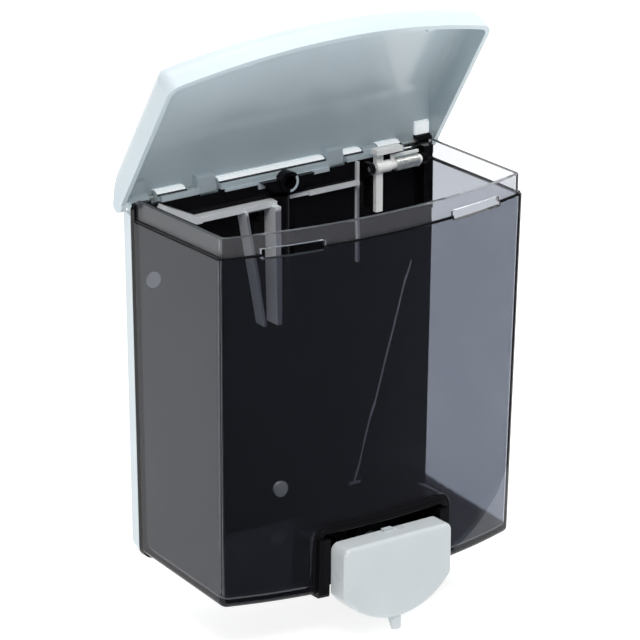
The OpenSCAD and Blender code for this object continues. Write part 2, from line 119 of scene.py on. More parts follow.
POCKET_TOP = HOUSING_HIGH.z + 0.05
POCKET_Y = -60.0                       # rear face of the valve pocket
VALVE_Z = sum(c.z for c in mm_box("plunger")) / 2
BUTTON_TOP = BUTTON_HIGH.z - 2.3
BUTTON_D = 9.6                         # depth of the button's cap
BUTTON_ROUND = 1.7                     # radius around its face
SIDE_END = -116.4                      # height where its straight sides end
SPOUT_TOP = -124.0                     # height where the spout leaves its upright tube
SPOUT_LEAN = 15.0
SPOUT_LENGTH = 11.4
SPOUT_ROOT_R = 3.8
SPOUT_TIP_R = 1.9
NOZZLE_PLACE = BUTTON_LOW.y + 4.7      # the nozzle's upright tube, along Y

BOSS = (-1.5, HINGE_Z - 1.9, BACK_Y - 4.0)
PAD = (-14.8, HINGE_Z - 14.5)


# ---------------------------------------------------------------- outlines

def arc(x, y, r, start, end, count):
    """Points of an arc, from one angle to another in degrees."""
    angles = [math.radians(start + (end - start) * i / count) for i in range(count + 1)]
    return [(x + r * math.cos(a), y + r * math.sin(a)) for a in angles]


def plan(half, back, arc_y, arc_r, corner, inset):
    """Outline seen from above: a flat back, with straight sides and a bowed front moved in by inset."""
    w, big, r = half - inset, arc_r - inset, max(corner - inset, 0.5)
    cy = arc_y - math.sqrt((big - r) ** 2 - (w - r) ** 2)
    tip = math.degrees(math.atan2(arc_y - cy, w - r))
    sides = [(w, back), (-w, back)]
    left = arc(r - w, cy, r, 180, 180 + tip, 8)
    front = arc(0, arc_y, big, 180 + tip + 0.3, 360 - tip - 0.3, 64)
    right = arc(w - r, cy, r, 360 - tip, 360, 8)
    return sides + left + front + right


def bow_radius(half, bow):
    return (half * half + bow * bow) / (2 * bow)


# ---------------------------------------------------------------- mesh building

def new_object(name, mesh):
    piece = bpy.data.objects.new(name, mesh)
    bpy.context.scene.collection.objects.link(piece)
    return piece


def loft(name, rows):
    """Closed solid through rows of points in millimetres; every row has as many points, in one order."""
    count = len(rows[0])
    points = [tuple(c * MM for c in p) for row in rows for p in row]
    faces = [tuple(reversed(range(count))), tuple((len(rows) - 1) * count + i for i in range(count))]
    for k in range(len(rows) - 1):
        for i in range(count):
            j = (i + 1) % count
            faces.append((k * count + i, k * count + j, (k + 1) * count + j, (k + 1) * count + i))
    mesh = bpy.data.meshes.new(name)
    mesh.from_pydata(points, [], faces)
    build = bmesh.new()
    build.from_mesh(mesh)
    bmesh.ops.recalc_face_normals(build, faces=build.faces)
    build.to_mesh(mesh)
    build.free()
    return new_object(name, mesh)


def block(name, low, high):
    """Box between two corners in millimetres."""
    x0, y0, z0 = low
    x1, y1, z1 = high
    return loft(name, [[(x0, y0, z), (x1, y0, z), (x1, y1, z), (x0, y1, z)] for z in (z0, z1)])


def upright(name, outline, z0, z1):
    """Outline in X and Y made into a prism between two heights."""
    return loft(name, [[(x, y, z) for x, y in outline] for z in (z0, z1)])


def slab_y(name, outline, y0, y1):
    """Outline in X and Z made into a prism between two depths."""
    return loft(name, [[(x, y, z) for x, z in outline] for y in (y0, y1)])


def slab_x(name, outline, x0, x1):
    """Outline in Y and Z made into a prism between two places along X."""
    return loft(name, [[(x, y, z) for y, z in outline] for x in (x0, x1)])


def rod(name, axis, centre, r, low, high, sides=40):
    """Cylinder along X, Y or Z; centre holds the two other coordinates."""
    ring = arc(centre[0], centre[1], r, 0, 360 - 360 / sides, sides - 1)
    maker = {"x": slab_x, "y": slab_y, "z": upright}[axis]
    return maker(name, ring, low, high)


def apply_modifiers(piece):
    depsgraph = bpy.context.evaluated_depsgraph_get()
    mesh = bpy.data.meshes.new_from_object(piece.evaluated_get(depsgraph))
    piece.modifiers.clear()
    piece.data = mesh


def combine(piece, others, operation):
    """Unites, cuts or intersects piece with each of the others, which are then gone."""
    for other in others:
        cut = piece.modifiers.new("cut", "BOOLEAN")
        cut.operation = operation
        cut.solver = "EXACT"
        cut.object = other
        bpy.context.view_layer.update()
        apply_modifiers(piece)
        bpy.data.objects.remove(other)
    return piece


def turn(piece, degrees):
    """Turns a piece's mesh about the X axis."""
    piece.data.transform(Matrix.Rotation(math.radians(degrees), 4, "X"))
    return piece


def soften(piece, width, limit=35, segments=2):
    """Rounds the piece's sharp edges and gives it smooth shading."""
    build = bmesh.new()
    build.from_mesh(piece.data)
    bmesh.ops.remove_doubles(build, verts=build.verts, dist=2e-6)
    bmesh.ops.dissolve_limit(build, angle_limit=math.radians(0.6), verts=build.verts, edges=build.edges)
    build.to_mesh(piece.data)
    build.free()
    if width:
        bevel = piece.modifiers.new("bevel", "BEVEL")
        bevel.width = width * MM
        bevel.segments = segments
        bevel.limit_method = "ANGLE"
        bevel.angle_limit = math.radians(limit)
        bevel.use_clamp_overlap = True
        bevel.miter_outer = "MITER_ARC"
    bpy.context.view_layer.update()
    apply_modifiers(piece)
    piece.data.shade_smooth()
    piece.data.set_sharp_from_angle(angle=math.radians(40))
    weighted = piece.modifiers.new("weighted", "WEIGHTED_NORMAL")
    weighted.keep_sharp = True
    weighted.weight = 80
    bpy.context.view_layer.update()
    apply_modifiers(piece)
    return piece


def place(piece, body, slot, material, *replaced):
    """Gives a finished piece its material and body, and hides the CAD nodes that it stands for."""
    piece.data.materials.clear()
    piece.data.materials.append(material)
    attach(piece, body)
    if replaced:
        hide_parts(*replaced)
    return piece


# ---------------------------------------------------------------- materials

def node_material(name):
    """A new material, its node tree and its shader."""
    material = bpy.data.materials.new(name)
    material.use_nodes = True
    tree = material.node_tree
    return material, tree, tree.nodes["Principled BSDF"]


def noise(tree, scale, detail=3.0, roughness=0.5):
    """Noise texture over the object's own coordinates."""
    where = tree.nodes.new("ShaderNodeTexCoord")
    made = tree.nodes.new("ShaderNodeTexNoise")
    made.inputs["Scale"].default_value = scale
    made.inputs["Detail"].default_value = detail
    made.inputs["Roughness"].default_value = roughness
    tree.links.new(where.outputs["Object"], made.inputs["Vector"])
    return made


def ramp(tree, source, stops):
    """Colour ramp over a texture's value; stops are (place, colour)."""
    made = tree.nodes.new("ShaderNodeValToRGB")
    ends = made.color_ramp.elements
    for element, (at, colour) in zip(ends, (stops[0], stops[-1])):
        element.position = at
        element.color = (*colour, 1)
    for at, colour in stops[1:-1]:
        middle = ends.new(at)
        middle.color = (*colour, 1)
    tree.links.new(source, made.inputs["Fac"])
    return made


def span_of(tree, source, low, high):
    """Maps a texture's middle range onto low..high."""
    made = tree.nodes.new("ShaderNodeMapRange")
    made.inputs["From Min"].default_value = 0.35
    made.inputs["From Max"].default_value = 0.65
    made.inputs["To Min"].default_value = low
    made.inputs["To Max"].default_value = high
    tree.links.new(source, made.inputs["Value"])
    return made


def span_between(tree, source, low, high):
    """Share of the way from low to high, from 0 to 1."""
    made = tree.nodes.new("ShaderNodeMapRange")
    made.inputs["From Min"].default_value = low
    made.inputs["From Max"].default_value = high
    tree.links.new(source, made.inputs["Value"])
    return made


def times(tree, first, second):
    """One colour multiplied by another."""
    made = tree.nodes.new("ShaderNodeMix")
    made.data_type = "RGBA"
    made.blend_type = "MULTIPLY"
    made.inputs["Factor"].default_value = 1
    tree.links.new(first, made.inputs["A"])
    tree.links.new(second, made.inputs["B"])
    return made.outputs["Result"]


def bump(tree, shader, source, strength, distance):
    made = tree.nodes.new("ShaderNodeBump")
    made.inputs["Strength"].default_value = strength
    made.inputs["Distance"].default_value = distance
    tree.links.new(source, made.inputs["Height"])
    tree.links.new(made.outputs["Normal"], shader.inputs["Normal"])


def shade(colour, factor):
    return tuple(c * factor for c in colour)


def moulded_plastic(name, colour, rough, grain, ior=1.5, glow=0.0):
    """Moulded plastic: faint mottling, uneven gloss and a fine surface grain; a glow above zero adds a painted
    highlight as emission.
    """
    material, tree, shader = node_material(name)
    mottle = noise(tree, 38, 4)
    tint = ramp(tree, mottle.outputs["Fac"], [(0.3, shade(colour, 0.965)), (0.7, shade(colour, 1.03))])
    tree.links.new(tint.outputs["Color"], shader.inputs["Base Color"])
    gloss = span_of(tree, noise(tree, 45, 2).outputs["Fac"], rough * 0.9, rough * 1.15)
    tree.links.new(gloss.outputs["Result"], shader.inputs["Roughness"])
    fine = noise(tree, 2600, 2)
    bump(tree, shader, fine.outputs["Fac"], grain, 0.00006)
    shader.inputs["IOR"].default_value = ior
    # Emission paints a highlight: with glow set, the part glows though it is no lamp.
    shader.inputs["Emission Color"].default_value = (*colour, 1)
    shader.inputs["Emission Strength"].default_value = glow
    return material


def smoke_plastic(name, tint, clear):
    """Clear plastic with a smoke tint, polished outside and darkest in the tank's floor."""
    material, tree, shader = node_material(name)
    where = tree.nodes.new("ShaderNodeTexCoord")
    above_floor = tree.nodes.new("ShaderNodeVectorMath")
    above_floor.operation = "DOT_PRODUCT"
    above_floor.inputs[1].default_value = (0, -FLOOR_SLOPE, 1)
    tree.links.new(where.outputs["Object"], above_floor.inputs[0])
    low = span_between(tree, above_floor.outputs["Value"], FLOOR_AT, FLOOR_AT + 0.0042)
    depth = ramp(tree, low.outputs["Result"], [(0.55, SMOKE_FLOOR), (1.0, tint)])
    flow = noise(tree, 22, 3)
    mottle = ramp(tree, flow.outputs["Fac"], [(0.3, (0.95, 0.95, 0.96)), (0.7, (1.04, 1.04, 1.03))])
    colour = times(tree, depth.outputs["Color"], mottle.outputs["Color"])
    tree.links.new(colour, shader.inputs["Base Color"])
    gloss = span_of(tree, noise(tree, 90, 4).outputs["Fac"], 0.008, 0.03)
    tree.links.new(gloss.outputs["Result"], shader.inputs["Roughness"])
    shader.inputs["Transmission Weight"].default_value = clear
    shader.inputs["IOR"].default_value = 1.36
    shader.inputs["Specular Tint"].default_value = (0.84, 0.90, 1, 1)
    bump(tree, shader, noise(tree, 14, 2).outputs["Fac"], 0.08, 0.0006)
    return material


def painted_light_frame_plastic(name):
    """Plastic of the light frame with painted light: its upper and left faces get a painted highlight, and its
    lower front faces painted shade.
    """
    material, tree, shader = node_material(name)
    surface = tree.nodes.new("ShaderNodeNewGeometry")
    turned = tree.nodes.new("ShaderNodeVectorMath")
    turned.operation = "DOT_PRODUCT"
    turned.inputs[1].default_value = (-0.85, 0.45, 0.5)
    tree.links.new(surface.outputs["Normal"], turned.inputs[0])
    # Painted light: faces turned up and to the left are painted pale as if lit, and faces turned to the front are
    # painted dark as if shaded.
    facing = span_between(tree, turned.outputs["Value"], -0.2, 0.45)
    parts = tree.nodes.new("ShaderNodeSeparateXYZ")
    where = tree.nodes.new("ShaderNodeTexCoord")
    tree.links.new(where.outputs["Object"], parts.inputs[0])
    top = mm_box("hanger_frame")[1].z
    # Painted highlight: a band at the top of the frame is painted pale as if lit from above.
    high = span_between(tree, parts.outputs["Z"], (top - 11) * MM, (top - 9.6) * MM)
    pale = tree.nodes.new("ShaderNodeMath")
    pale.operation = "MAXIMUM"
    tree.links.new(facing.outputs["Result"], pale.inputs[0])
    tree.links.new(high.outputs["Result"], pale.inputs[1])
    # These two colours are the frame's painted shade and painted highlight.
    tone = ramp(tree, pale.outputs[0], [(0.0, (0.17, 0.18, 0.21)), (1.0, (0.66, 0.70, 0.72))])
    uneven = noise(tree, 60, 4)
    mottle = ramp(tree, uneven.outputs["Fac"], [(0.3, (0.94, 0.94, 0.94)), (0.7, (1.05, 1.05, 1.05))])
    colour = times(tree, tone.outputs["Color"], mottle.outputs["Color"])
    tree.links.new(colour, shader.inputs["Base Color"])
    gloss = span_of(tree, noise(tree, 160, 4).outputs["Fac"], 0.15, 0.25)
    tree.links.new(gloss.outputs["Result"], shader.inputs["Roughness"])
    bump(tree, shader, noise(tree, 2200, 2).outputs["Fac"], 0.15, 0.00005)
    return material


def metal(name, colour, rough):
    """Bright steel, a little uneven in tone and gloss."""
    material, tree, shader = node_material(name)
    drawn = noise(tree, 420, 4)
    tone = ramp(tree, drawn.outputs["Fac"], [(0.3, shade(colour, 0.85)), (0.7, shade(colour, 1.05))])
    tree.links.new(tone.outputs["Color"], shader.inputs["Base Color"])
    shader.inputs["Metallic"].default_value = 1.0
    gloss = span_of(tree, noise(tree, 900, 5, 0.7).outputs["Fac"], rough * 0.7, rough * 1.4)
    tree.links.new(gloss.outputs["Result"], shader.inputs["Roughness"])
    bump(tree, shader, noise(tree, 1800, 2).outputs["Fac"], 0.15, 0.00003)
    return material


def rubber(name):
    """Soft black rubber, matt and a little dusty."""
    material, tree, shader = node_material(name)
    dust = noise(tree, 240, 5)
    tone = ramp(tree, dust.outputs["Fac"], [(0.3, (0.012, 0.012, 0.013)), (0.7, (0.03, 0.03, 0.032))])
    tree.links.new(tone.outputs["Color"], shader.inputs["Base Color"])
    gloss = span_of(tree, noise(tree, 500, 4).outputs["Fac"], 0.5, 0.75)
    tree.links.new(gloss.outputs["Result"], shader.inputs["Roughness"])
    bump(tree, shader, noise(tree, 1400, 3).outputs["Fac"], 0.3, 0.00005)
    return material


SMOKE_WALL = (0.366, 0.388, 0.43)      # share of light that passes one wall
SMOKE_FLOOR = (0.012, 0.012, 0.014)
SMOKE_RIM = (0.74, 0.755, 0.785)
FLOOR_AT = (FLOOR_LOW + TANK_D * FLOOR_SLOPE) * MM    # height of the underside's plane at the wall

GREY = moulded_plastic("grey_plastic", (0.50, 0.595, 0.635), 0.16, 0.1, 1.6)
BUTTON_GREY = moulded_plastic("button_plastic", (0.465, 0.515, 0.53), 0.3, 0.015)
BLACK = moulded_plastic("black_plastic", (0.0035, 0.0035, 0.0042), 0.1, 0.12, 1.22)
WHITE = moulded_plastic("white_plastic", (0.86, 0.89, 0.87), 0.25, 0.1)
# Painted highlight: near-white plastic that glows a little, for the lit tops of the knuckles and the lid's catch.
PAINTED_HIGHLIGHT_GLOW = moulded_plastic("painted_highlight_glow", (0.88, 0.93, 0.95), 0.25, 0.1, 1.5, 0.35)
SMOKE = smoke_plastic("smoke_plastic", SMOKE_WALL, 1.0)
RIM_SMOKE = smoke_plastic("rim_smoke", SMOKE_RIM, 0.965)
# Frame plastic with painted highlights and painted shade.
FRAME_PAINTED_LIGHT = painted_light_frame_plastic("painted_light_frame_plastic")
# Painted highlight: the pale colour of the recess edge's lit strips.
RECESS_HIGHLIGHT_PAINT = moulded_plastic("painted_edge_highlight", (0.33, 0.35, 0.38), 0.3, 0.1)
STEEL = metal("steel", (0.80, 0.84, 0.82), 0.34)
RUBBER = rubber("rubber")
BY_SLOT = {
    "grey_plastic": GREY,
    "black_plastic": BLACK,
    "white_plastic": WHITE,
    "smoke_plastic": SMOKE,
    "steel": STEEL,
    "rubber": RUBBER,
}


# ---------------------------------------------------------------- camera, light, floor

def add_camera():
    """The photograph's viewpoint: from the left, a little above, with a long lens."""
    azimuth, elevation, roll = math.radians(-35.9), math.radians(19.32), math.radians(0.16)
    data = bpy.data.cameras.new("camera")
    data.lens = 264.05
    data.sensor_width = 36
    data.clip_end = 50
    camera = new_object("camera", data)
    back = Vector((
        math.sin(azimuth) * math.cos(elevation),
        -math.cos(azimuth) * math.cos(elevation),
        math.sin(elevation),
    ))
    camera.location = (-1.0064, -1.4213, 0.5787)
    turned = back.to_track_quat("Z", "Y").to_matrix().to_4x4()
    camera.matrix_world = Matrix.Translation(camera.location) @ turned @ Matrix.Rotation(roll, 4, "Z")
    bpy.context.scene.camera = camera


SKY = (0.36, 0.38, 0.40)
SKY_BEHIND = (1.1, 1.1, 1.1)
SKY_LOW_FRONT = (0.02, 0.02, 0.024)
WARM = (1.0, 0.895, 0.86)
COOL = (0.86, 0.95, 1.0)


def add_area(name, at, size, power, look_at=(0, -0.04, 0), colour=(1, 1, 1)):
    data = bpy.data.lights.new(name, "AREA")
    data.shape = "RECTANGLE"
    data.size, data.size_y = size
    data.energy = power
    data.color = colour
    lamp = new_object(name, data)
    lamp.location = at
    lamp.rotation_euler = (Vector(look_at) - Vector(at)).to_track_quat("-Z", "Y").to_euler()
    return lamp


def sky_patch(tree, where, facing, start, end, colour):
    """Colour that fades in from start to end, as the direction turns towards facing."""
    toward = tree.nodes.new("ShaderNodeVectorMath")
    toward.operation = "DOT_PRODUCT"
    toward.inputs[1].default_value = Vector(facing).normalized()
    tree.links.new(where.outputs["Generated"], toward.inputs[0])
    fade = tree.nodes.new("ShaderNodeMapRange")
    fade.interpolation_type = "SMOOTHSTEP"
    fade.inputs["From Min"].default_value = start
    fade.inputs["From Max"].default_value = end
    tree.links.new(toward.outputs["Value"], fade.inputs["Value"])
    return fade.outputs["Result"], colour


def add_world():
    """Studio surround: pale, brighter behind, and dark low in front, as with a black flag by the camera."""
    world = bpy.data.worlds.new("studio")
    bpy.context.scene.world = world
    world.use_nodes = True
    tree = world.node_tree
    background = tree.nodes["Background"]
    where = tree.nodes.new("ShaderNodeTexCoord")
    patches = [
        sky_patch(tree, where, (0.45, 0.76, 0.45), 0.5, 0.9, SKY_BEHIND),
        sky_patch(tree, where, (0.55, -0.76, -0.36), 0.45, 0.78, SKY_LOW_FRONT),
    ]
    colour = None
    for share, shown in patches:
        layer = tree.nodes.new("ShaderNodeMix")
        layer.data_type = "RGBA"
        layer.inputs["A"].default_value = (*SKY, 1)
        layer.inputs["B"].default_value = (*shown, 1)
        tree.links.new(share, layer.inputs["Factor"])
        if colour is not None:
            tree.links.new(colour, layer.inputs["A"])
        colour = layer.outputs["Result"]
    tree.links.new(colour, background.inputs["Color"])
    background.inputs["Strength"].default_value = 1.0


def add_sheet(name, material_name, x_span, y_span, level, colour):
    """Flat matt sheet below the object."""
    corners = [(x_span[0], y_span[0], level), (x_span[1], y_span[0], level),
               (x_span[1], y_span[1], level), (x_span[0], y_span[1], level)]
    mesh = bpy.data.meshes.new(name)
    mesh.from_pydata(corners, [], [(0, 1, 2, 3)])
    sheet = new_object(name, mesh)
    material, _, shader = node_material(material_name)
    shader.inputs["Base Color"].default_value = (*colour, 1)
    shader.inputs["Roughness"].default_value = 0.9
    shader.inputs["Specular IOR Level"].default_value = 0.0
    mesh.materials.append(material)
    return sheet, shader


def add_floor():
    """Plain pale floor just below the object."""
    level = CAD_BOX[0][2] - 0.002
    _, shader = add_sheet("floor", "floor_paper", (-30, 30), (-30, 30), level, (0.5, 0.5, 0.5))
    shader.inputs["Emission Color"].default_value = (1, 1, 1, 1)
    shader.inputs["Emission Strength"].default_value = 0.83


def add_dark_card():
    """Dark card on the floor in front, seen only in reflections and through the smoke plastic."""
    level = CAD_BOX[0][2] - 0.0015
    card, _ = add_sheet("dark_card", "card_black", (-1.5, 3.0), (-4.0, -0.1), level, (0.20, 0.20, 0.23))
    card.visible_camera = False
    card.visible_shadow = False
    card.visible_diffuse = False


def set_stage():
    add_camera()
    add_world()
    add_floor()
    add_dark_card()
    add_area("key", (-0.75, -1.05, 1.85), (1.0, 1.0), 39.5, colour=WARM)
    add_area("front", (-0.5, -2.1, 0.35), (0.9, 0.9), 3)
    add_area("top", (0.2, 0.3, 2.4), (2.4, 2.4), 18, colour=WARM)
    side = add_area("side", (0.62, -0.3, 0.75), (0.4, 0.4), 4.5, (0.05, 0, 0.08), COOL)
    side.visible_glossy = False
    bpy.context.scene.view_settings.view_transform = "Standard"


# ---------------------------------------------------------------- lid

def lid_plan(inset):
    big = bow_radius(LID_W / 2, LID_BOW)
    return plan(LID_W / 2, 12, big - LID_REACH, big, LID_CORNER, inset)


def lid_solid(name, inset, low, r):
    """The lid's form moved in by inset, closed and level, with the hinge axis as its origin."""
    top = LID_TOP - inset
    rows = [[(x, y, low) for x, y in lid_plan(inset)]]
    for step in range(13):
        a = math.radians(90 * step / 12)
        rows.append([(x, y, top - r + r * math.sin(a)) for x, y in lid_plan(inset + r * (1 - math.cos(a)))])
    return loft(name, rows)


def behind_wall(gap):
    """Everything behind a plane that is parallel to the wall while the lid stands open."""
    return turn(block("behind", (-100, gap, -60), (100, gap + 60, 100)), LID_OPEN)


def blended(inner):
    """Rounds the inside of the lid where its top meets its rear wall, with planes that turn in steps."""
    r, reach, drop = 34, LID_WALL_Y - LID_T, LID_TOP - LID_T
    open_cos, open_sin = math.cos(math.radians(LID_OPEN)), math.sin(math.radians(LID_OPEN))
    z = drop - r
    y = (reach - r - z * open_sin) / open_cos
    cuts = []
    for step in range(1, 7):
        a = math.radians((90 - LID_OPEN) * step / 7)
        away = math.sin(a) * y + math.cos(a) * z + r
        cuts.append(turn(block("blend", (-100, away, -90), (100, away + 60, 120)), 90 - math.degrees(a)))
    return combine(inner, cuts, "DIFFERENCE")


def lid_ridge(x0, x1):
    """Gusset above an outer knuckle."""
    outline = [(-0.5, 1.2), (2.2, 1.2), (2.2, 8.4), (0.3, 8.4), (-0.5, 7.6)]
    return turn(slab_x("ridge", outline, x0, x1), LID_OPEN)


def lid_tab(x0, x1):
    """Square tab on an inner knuckle, which stands up in front of the lid's inside while it is open."""
    outline = [(-3.1, -1.2), (1.0, -1.2), (1.0, 5.8), (-1.6, 5.8), (-3.1, 5.0)]
    return turn(slab_x("tab", outline, x0, x1), LID_OPEN)


def stand_open(piece):
    """Puts a piece made for the level lid where the open lid holds it."""
    turn(piece, -LID_OPEN)
    piece.data.transform(Matrix.Translation((0, HINGE_Y * MM, HINGE_Z * MM)))
    return piece


def make_lid():
    inner = lid_solid("inner", LID_T, -LID_SKIRT - 1, LID_INNER_ROUND)
    combine(inner, [behind_wall(LID_WALL_Y - LID_T)], "DIFFERENCE")
    blended(inner)
    side = LID_W / 2 - LID_T
    hinge_room = block("room", (-side + 0.1, -KNUCKLE_R, -9), (side - 0.1, 20, 0.05))
    below = turn(block("below", (-90, -KNUCKLE_R, -20), (90, 20, 0)), LID_OPEN)
    lid = lid_solid("lid_shell", 0, -LID_SKIRT, LID_ROUND)
    combine(lid, [inner, behind_wall(LID_WALL_Y), hinge_room, below], "DIFFERENCE")
    ends = [(0.1 - LID_W / 2, 0.3 - side), (side - 0.3, LID_W / 2 - 0.1)]
    knuckles = [(-70, -62.5), (-40.5, -31.5), (20.6, 28.6), (38.6, 45.5)]
    solids = [rod("knuckle", "x", (0, 0), KNUCKLE_R, x0, x1) for x0, x1 in ends + knuckles]
    solids += [lid_ridge(-69.6, -62.9), lid_tab(-40.5, -32.2), lid_tab(20.6, 28.2)]
    front = -LID_REACH + LID_T
    for x in NUBS:
        y = front + x * x / (2 * bow_radius(LID_W / 2, LID_BOW))
        solids.append(block("nub", (x - 2, y - 0.3, -LID_SKIRT + 0.1), (x + 2, y + 1, 0)))
    combine(lid, solids, "UNION")
    rooms = [(-59.3, -45), (-30.7, 20.5), (28.7, 38.5), (45.6, 57.3)]
    cuts = [rod("gap", "x", (0, 0), KNUCKLE_R + 0.4, x0, x1) for x0, x1 in rooms]
    combine(lid, cuts + [rod("pin_hole", "x", (0, 0), 1.5, -69.8, 69.8)], "DIFFERENCE")
    stand_open(lid)
    soften(lid, 0.8, 50, 3)
    return place(lid, "lid", "grey_plastic", GREY, "lid")


def make_lid_end():
    """The right-hand hinge end of the lid: a white catch with a glowing painted highlight, which stands on a black
    knuckle.
    """
    catch = lid_ridge(65.6, 72.4)
    catch.name = "lid_catch"
    combine(catch, [rod("seat", "x", (0, 0), KNUCKLE_R + 0.02, 60, 75)], "DIFFERENCE")
    knuckle = rod("lid_end_knuckle", "x", (0, 0), KNUCKLE_R, 65.3, 72.4)
    combine(knuckle, [rod("pin_hole", "x", (0, 0), 1.5, 60, 69.8)], "DIFFERENCE")
    soften(stand_open(catch), 0.5, 50)
    # The catch is painted with a glowing highlight.
    place(catch, "lid", "grey_plastic", PAINTED_HIGHLIGHT_GLOW, "lid")
    soften(stand_open(knuckle), 0.3, 50)
    place(knuckle, "lid", "black_plastic", BLACK, "lid")


# ---------------------------------------------------------------- tank shell

def tank_row(z, narrower, inset, back, tilted=False):
    """One level of the tank's plan; a tilted one follows the sloping floor."""
    big = bow_radius(HALF_W, BOW)
    outline = plan(HALF_W - narrower, back, big - TANK_D, big - narrower * 1.45, CORNER, inset)
    slope = FLOOR_SLOPE if tilted else 0
    return [(x, y, z + (y + TANK_D) * slope) for x, y in outline]


def tank_solid(name, inset, back, top):
    """Solid body of the tank up to its shoulder, with a rounded lower edge, moved in by inset."""
    rows = []
    for step in range(7):
        a = math.radians(90 * step / 6)
        z = FLOOR_LOW + inset + LOW_ROUND * (1 - math.cos(a))
        rows.append(tank_row(z, DRAFT, inset + LOW_ROUND * (1 - math.sin(a)), back, True))
    low = FLOOR_LOW + inset + LOW_ROUND
    for part in range(1, 9):
        share = part / 8
        left = 1 - share
        level = tank_row(low + (top - low) * share, DRAFT * left, inset, back)
        rows.append([(x, y, z + (y + TANK_D) * FLOOR_SLOPE * left) for x, y, z in level])
    return loft(name, rows)


def rim_block(name, inset, back, z0, z1, corner):
    """Prism with the rim's outline moved in by inset."""
    big = bow_radius(HALF_W, BOW)
    move = RIM_STEP + inset
    outline = plan(HALF_W - move, back, big - TANK_D, big - move, corner, 0)
    return upright(name, outline, z0, z1)


def pocket_outline(grow):
    """Outline of the valve pocket seen from the front: its upper corners are rounded."""
    half, top, r = 30.7 + grow, POCKET_TOP + grow, 4 + grow
    foot = [(-half, POCKET_TOP - 40), (half, POCKET_TOP - 40)]
    return foot + arc(half - r, top - r, r, 0, 90, 8) + arc(r - half, top - r, r, 90, 180, 8)


def shoulder_windows():
    """Two openings in the shoulder that take the lid's snap nubs."""
    return [block("window", (x - 13, -TANK_D - 5, SHOULDER - 1.2), (x + 13, -TANK_D + 12, SHOULDER + 2.4))
            for x in NUBS]


def make_tank_shell():
    shell = tank_solid("smoke_tank", 0, BACK_Y, SHOULDER)
    combine(shell, [tank_solid("inside", TANK_T, BACK_Y + 9, SHOULDER + 2)], "DIFFERENCE")
    cuts = [slab_y("mouth", pocket_outline(2), -TANK_D - 9, POCKET_Y + 2)]
    combine(shell, cuts + shoulder_windows(), "DIFFERENCE")
    soften(shell, 0.3, 40)
    return place(shell, "base", "smoke_plastic", SMOKE, "tank_shell")


def make_rim():
    """The thinner, paler rim that the lid closes over, a step in from the wall."""
    rim = rim_block("tank_rim", 0, BACK_Y, SHOULDER + 0.06, RIM_TOP, CORNER)
    inside = rim_block("rim_inside", RIM_T, BACK_Y + 9, SHOULDER - 9, RIM_TOP + 2, 1.5)
    combine(rim, [inside] + shoulder_windows(), "DIFFERENCE")
    soften(rim, 0.25, 40)
    return place(rim, "base", "smoke_plastic", RIM_SMOKE, "tank_shell")


def make_shoulder_line():
    """Dark line of shadow in the step at the foot of the rim."""
    line = rim_block("shoulder_line", -0.7, BACK_Y - 0.1, SHOULDER + 0.02, SHOULDER + 0.75, CORNER)
    within = rim_block("within", 0.05, BACK_Y + 9, SHOULDER - 9, RIM_TOP + 2, 3.2)
    combine(line, [within] + shoulder_windows(), "DIFFERENCE")
    return place(line, "base", "black_plastic", BLACK, "tank_shell")


def make_pocket():
    """Black recess for the valve in the tank's front; its cheeks and floor clear the pushed button."""
    pocket = slab_y("pocket", pocket_outline(2), -TANK_D - 5, POCKET_Y + 2)
    combine(pocket, [tank_solid("limit", 0, BACK_Y, SHOULDER - 0.01)], "INTERSECT")
    mouth = slab_y("mouth", pocket_outline(0), -TANK_D - 9, POCKET_Y)
    valve_hole = rod("valve_hole", "y", (0, VALVE_Z), 6.6, POCKET_Y - 5, POCKET_Y + 5)
    combine(pocket, [mouth, valve_hole], "DIFFERENCE")
    low, high, room = FLOOR_LOW - 0.1, HOUSING_LOW.z - 0.05, 26.3
    floor = block("pocket_floor", (-31, -TANK_D - 5, low), (31, POCKET_Y + 1.9, POCKET_TOP - 4))
    stroke = block("stroke", (-room, -TANK_D - 9, low - 9), (room, BUTTON_HIGH.y + 6, POCKET_TOP))
    valve_room = block("valve_room", (-room, -99, high), (room, -9, POCKET_TOP))
    combine(floor, [stroke, valve_room], "DIFFERENCE")
    combine(floor, [tank_solid("limit", -1.6, BACK_Y, SHOULDER - 0.01)], "INTERSECT")
    combine(pocket, [floor], "UNION")
    soften(pocket, 0.3, 40)
    return place(pocket, "base", "black_plastic", BLACK, "tank_shell")


# ---------------------------------------------------------------- button and nozzle

def button_outline(inset):
    """Straight sides, rounded upper corners and a hanging arc below."""
    w, r = BUTTON_HIGH.x - inset, max(3.2 - inset, 0.8)
    sag = SIDE_END - BUTTON_LOW.z - inset
    big = (w * w + sag * sag) / (2 * sag)
    a = math.degrees(math.asin(w / big))
    top = BUTTON_TOP - inset
    low = arc(0, BUTTON_LOW.z + inset + big, big, 270 - a, 270 + a, 32)
    return arc(w - r, top - r, r, 0, 90, 8) + arc(r - w, top - r, r, 90, 180, 8) + low


